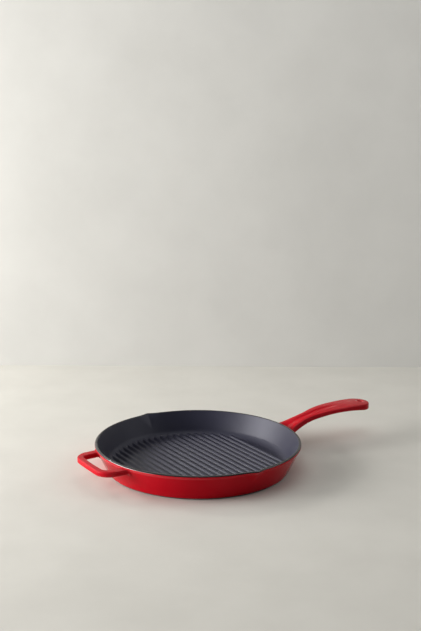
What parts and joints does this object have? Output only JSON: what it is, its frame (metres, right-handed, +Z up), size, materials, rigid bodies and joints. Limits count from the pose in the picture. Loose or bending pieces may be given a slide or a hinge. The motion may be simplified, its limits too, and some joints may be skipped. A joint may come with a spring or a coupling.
{
  "type": "grill pan",
  "caption": "Round enamelled cast-iron grill pan with a ribbed cooking surface, two pouring lips, a long arched handle with a hanging hole and a loop helper handle.",
  "frame": {"origin": "centre of the flat resting face under the base", "axes": "+Z up out of the pan, +X along the long handle, +Y and -Y towards the two pouring lips"},
  "size_m": [0.4992, 0.312, 0.0526],
  "materials": {
    "iron_floor": "as-cast grey iron under the enamel",
    "iron_ribs": "as-cast grey iron under the enamel",
    "iron_wall": "as-cast grey iron under the enamel",
    "iron_long_handle": "as-cast grey iron under the enamel",
    "iron_helper_handle": "as-cast grey iron under the enamel",
    "interior_enamel": "matt charcoal-black vitreous enamel",
    "rim_enamel": "matt black ground-coat enamel",
    "exterior_enamel": "glossy red vitreous enamel",
    "base_enamel": "matt black ground-coat enamel",
    "long_handle_enamel": "glossy red vitreous enamel",
    "helper_handle_enamel": "glossy red vitreous enamel"
  },
  "bodies": {
    "root": {"iron_floor": "iron_floor", "iron_ribs": "iron_ribs", "iron_wall": "iron_wall", "iron_long_handle": "iron_long_handle", "iron_helper_handle": "iron_helper_handle", "interior_enamel": "interior_enamel", "rim_enamel": "rim_enamel", "exterior_enamel": "exterior_enamel", "base_enamel": "base_enamel", "long_handle_enamel": "long_handle_enamel", "helper_handle_enamel": "helper_handle_enamel"}
  },
  "joints": []
}
